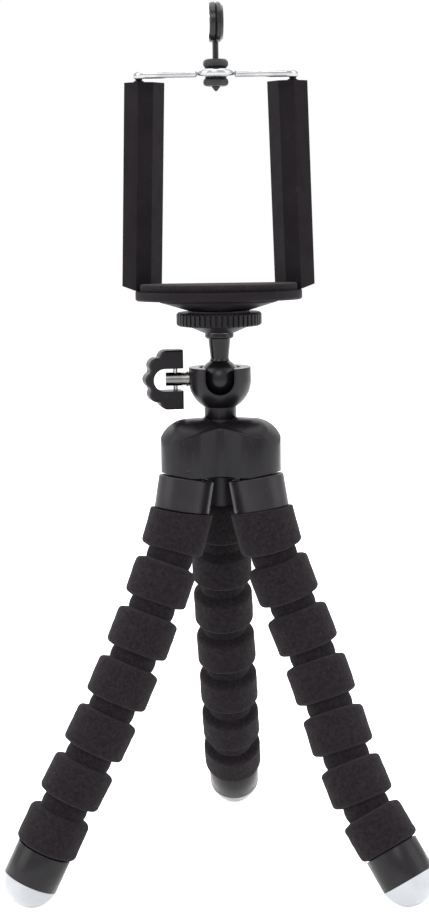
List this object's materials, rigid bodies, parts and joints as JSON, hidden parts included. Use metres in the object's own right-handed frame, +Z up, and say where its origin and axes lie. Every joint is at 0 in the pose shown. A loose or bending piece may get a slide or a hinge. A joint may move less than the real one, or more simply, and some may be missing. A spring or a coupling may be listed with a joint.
{
  "type": "phone tripod",
  "caption": "Small bendable-leg phone tripod with foam-covered legs, a clamped ball head, and a spring clip with a wire bracket and a little round mirror.",
  "frame": {"origin": "on the floor, under the centre of the hub, as the tripod stands", "axes": "+Z up, -Y towards the viewer of the clip's front, +X to the viewer's right, so the flip knob lies at -X"},
  "size_m": [0.1245, 0.1099, 0.2574],
  "materials": {
    "hub_plastic": "satin gloss, fine grain",
    "inner_plastic": "moulded, hidden",
    "collar_plastic": "satin gloss",
    "foam": "soft fine-grained foam",
    "ferrule_plastic": "glossy",
    "tip_plastic": "smooth, pale silver",
    "steel": "drawn",
    "core_aluminium": "soft drawn wire",
    "ball_plastic": "moulded",
    "wheel_plastic": "moulded, fluted",
    "rubber": "smooth",
    "bolt_nickel": "nickel plated",
    "knob_plastic": "moulded",
    "clip_plastic": "moulded, matte",
    "pad_foam": "dense foam",
    "nut_brass": "turned",
    "wing_plastic": "moulded, matte",
    "wire_chrome": "bright plated",
    "mirror_plastic": "glossy",
    "mirror_face": "domed, grey-green"
  },
  "bodies": {
    "hub": {"hub_shell": "hub_plastic", "hub_base": "inner_plastic", "leg_hinge_pins": "steel", "hub_screw": "steel", "head_cup": "hub_plastic", "pressure_pad": "inner_plastic"},
    "left_leg_top": {"left_collar": "collar_plastic", "left_foam_1": "foam", "left_core_wire": "core_aluminium"},
    "left_ring_2": {"left_foam_2": "foam"},
    "left_ring_3": {"left_foam_3": "foam"},
    "left_ring_4": {"left_foam_4": "foam"},
    "left_ring_5": {"left_foam_5": "foam"},
    "left_ring_6": {"left_foam_6": "foam"},
    "left_foot": {"left_foam_7": "foam", "left_ferrule": "ferrule_plastic", "left_tip": "tip_plastic"},
    "right_leg_top": {"right_collar": "collar_plastic", "right_foam_1": "foam", "right_core_wire": "core_aluminium"},
    "right_ring_2": {"right_foam_2": "foam"},
    "right_ring_3": {"right_foam_3": "foam"},
    "right_ring_4": {"right_foam_4": "foam"},
    "right_ring_5": {"right_foam_5": "foam"},
    "right_ring_6": {"right_foam_6": "foam"},
    "right_foot": {"right_foam_7": "foam", "right_ferrule": "ferrule_plastic", "right_tip": "tip_plastic"},
    "rear_leg_top": {"rear_collar": "collar_plastic", "rear_foam_1": "foam", "rear_core_wire": "core_aluminium"},
    "rear_ring_2": {"rear_foam_2": "foam"},
    "rear_ring_3": {"rear_foam_3": "foam"},
    "rear_ring_4": {"rear_foam_4": "foam"},
    "rear_ring_5": {"rear_foam_5": "foam"},
    "rear_ring_6": {"rear_foam_6": "foam"},
    "rear_foot": {"rear_foam_7": "foam", "rear_ferrule": "ferrule_plastic", "rear_tip": "tip_plastic"},
    "ball": {"ball": "ball_plastic"},
    "stem": {"ball_stem": "ball_plastic", "tripod_screw": "steel"},
    "wheel": {"locking_wheel": "wheel_plastic", "wheel_washer": "rubber"},
    "clip": {"clip_base": "clip_plastic", "clip_pad": "pad_foam", "clip_boss": "clip_plastic", "nut_insert": "nut_brass", "wing_left": "wing_plastic", "wing_right": "wing_plastic", "wing_bushings": "mirror_plastic", "clip_springs": "steel"},
    "bracket": {"wire_bracket": "wire_chrome"},
    "mirror": {"mirror_grommet": "rubber", "mirror_shell": "mirror_plastic", "mirror_glass": "mirror_face"},
    "clamp": {"clamp_bolt": "bolt_nickel", "cross_pin": "steel"},
    "knob": {"flip_knob": "knob_plastic"}
  },
  "joints": [
    {"name": "left_leg_swing", "type": "hinge", "parent": "hub", "child": "left_leg_top", "pos_m": [-0.00935, -0.0054, 0.1262], "axis": [-0.5, 0.866, 0], "range_deg": [-10.5, 3]},
    {"name": "left_bend_1", "type": "hinge", "parent": "left_leg_top", "child": "left_ring_2", "pos_m": [-0.01546, -0.00978, 0.09841], "axis": [0.5147, -0.8559, 0.0492], "range_deg": [-20.5, 28.5], "deforming": ["left_core_wire"]},
    {"name": "left_bend_2", "type": "hinge", "parent": "left_ring_2", "child": "left_ring_3", "pos_m": [-0.02079, -0.01317, 0.08414], "axis": [-0.7921, -0.4573, 0.4043], "range_deg": [-23.5, 25.5]},
    {"name": "left_bend_3", "type": "hinge", "parent": "left_ring_3", "child": "left_ring_4", "pos_m": [-0.02646, -0.01645, 0.06998], "axis": [-0.5, 0.866, 0], "range_deg": [-26.5, 22.5]},
    {"name": "left_bend_4", "type": "hinge", "parent": "left_ring_4", "child": "left_ring_5", "pos_m": [-0.0327, -0.01973, 0.05606], "axis": [-0.7728, -0.4462, 0.4513], "range_deg": [-22.5, 26.5]},
    {"name": "left_bend_5", "type": "hinge", "parent": "left_ring_5", "child": "left_ring_6", "pos_m": [-0.03961, -0.02278, 0.04241], "axis": [0.4775, -0.8775, -0.0459], "range_deg": [-24.5, 24.5]},
    {"name": "left_bend_6", "type": "hinge", "parent": "left_ring_6", "child": "left_foot", "pos_m": [-0.04665, -0.02558, 0.02878], "axis": [-0.7588, -0.4381, 0.4819], "range_deg": [-22.5, 26.5]},
    {"name": "right_leg_swing", "type": "hinge", "parent": "hub", "child": "right_leg_top", "pos_m": [0.00935, -0.0054, 0.1262], "axis": [-0.5, -0.866, 0], "range_deg": [-10.5, 3]},
    {"name": "right_bend_1", "type": "hinge", "parent": "right_leg_top", "child": "right_ring_2", "pos_m": [0.01526, -0.00683, 0.09801], "axis": [0.4726, 0.8732, 0.1188], "range_deg": [-19, 30.5], "deforming": ["right_core_wire"]},
    {"name": "right_bend_2", "type": "hinge", "parent": "right_ring_2", "child": "right_ring_3", "pos_m": [0.02056, -0.00769, 0.08336], "axis": [0.8192, -0.473, 0.3243], "range_deg": [-19.5, 29.5]},
    {"name": "right_bend_3", "type": "hinge", "parent": "right_ring_3", "child": "right_ring_4", "pos_m": [0.02609, -0.01026, 0.069], "axis": [-0.4879, -0.8723, -0.0321], "range_deg": [-24, 24]},
    {"name": "right_bend_4", "type": "hinge", "parent": "right_ring_4", "child": "right_ring_5", "pos_m": [0.03079, -0.01423, 0.05467], "axis": [0.7977, -0.4606, 0.3892], "range_deg": [-21.5, 27.5]},
    {"name": "right_bend_5", "type": "hinge", "parent": "right_ring_5", "child": "right_ring_6", "pos_m": [0.03527, -0.01901, 0.04051], "axis": [0.539, 0.8349, -0.1114], "range_deg": [-21, 28.5]},
    {"name": "right_bend_6", "type": "hinge", "parent": "right_ring_6", "child": "right_foot", "pos_m": [0.04074, -0.02405, 0.0268], "axis": [0.7655, -0.4419, 0.4677], "range_deg": [-26.5, 20.5]},
    {"name": "rear_leg_swing", "type": "hinge", "parent": "hub", "child": "rear_leg_top", "pos_m": [0, 0.0108, 0.1262], "axis": [1, 0, 0], "range_deg": [-10.5, 3]},
    {"name": "rear_bend_1", "type": "hinge", "parent": "rear_leg_top", "child": "rear_ring_2", "pos_m": [-0.00025, 0.01753, 0.09814], "axis": [-0.9998, -0.005, 0.0167], "range_deg": [-21.5, 28], "deforming": ["rear_core_wire"]},
    {"name": "rear_bend_2", "type": "hinge", "parent": "rear_ring_2", "child": "rear_ring_3", "pos_m": [0.00003, 0.0228, 0.08346], "axis": [0, 0.9412, 0.3379], "range_deg": [-23.5, 25.5]},
    {"name": "rear_bend_3", "type": "hinge", "parent": "rear_ring_3", "child": "rear_ring_4", "pos_m": [0.00057, 0.0286, 0.06899], "axis": [0.9994, -0.013, 0.0324], "range_deg": [-23.5, 26]},
    {"name": "rear_bend_4", "type": "hinge", "parent": "rear_ring_4", "child": "rear_ring_5", "pos_m": [0.00139, 0.03413, 0.05442], "axis": [0, 0.9349, 0.3549], "range_deg": [-25.5, 23.5]},
    {"name": "rear_bend_5", "type": "hinge", "parent": "rear_ring_5", "child": "rear_ring_6", "pos_m": [0.00193, 0.04019, 0.04006], "axis": [-0.9994, 0.0136, -0.0322], "range_deg": [-18.5, 31]},
    {"name": "rear_bend_6", "type": "hinge", "parent": "rear_ring_6", "child": "rear_foot", "pos_m": [0.00248, 0.04777, 0.02644], "axis": [0, 0.8737, 0.4864], "range_deg": [-23.5, 23.5]},
    {"name": "head_lean", "type": "hinge", "parent": "hub", "child": "ball", "pos_m": [0, 0, 0.1497], "axis": [0, 1, 0], "range_deg": [-20, 35]},
    {"name": "head_tilt", "type": "hinge", "parent": "ball", "child": "stem", "pos_m": [0, 0, 0.1497], "axis": [1, 0, 0], "range_deg": [-30, 90]},
    {"name": "wheel_spin", "type": "hinge", "parent": "stem", "child": "wheel", "pos_m": [0, 0, 0.1692], "axis": [0, 0, 1], "continuous": true},
    {"name": "clip_turn", "type": "hinge", "parent": "stem", "child": "clip", "pos_m": [0, 0, 0.1704], "axis": [0, 0, 1], "continuous": true},
    {"name": "bracket_slide", "type": "slide", "parent": "clip", "child": "bracket", "axis": [0, 0, 1], "range_m": [0, 0.025], "stiffness_N_per_m": 100, "springref_m": -0.03, "deforming": ["clip_springs"]},
    {"name": "mirror_turn", "type": "hinge", "parent": "bracket", "child": "mirror", "pos_m": [0, -0.0032, 0.23735], "axis": [0, 0, 1], "continuous": true},
    {"name": "clamp_turn", "type": "hinge", "parent": "hub", "child": "clamp", "pos_m": [-0.01305, 0, 0.1497], "axis": [1, 0, 0], "continuous": true},
    {"name": "knob_flip", "type": "hinge", "parent": "clamp", "child": "knob", "pos_m": [-0.01305, 0, 0.1497], "axis": [0, 0, 1], "range_deg": [-103, 77]}
  ]
}
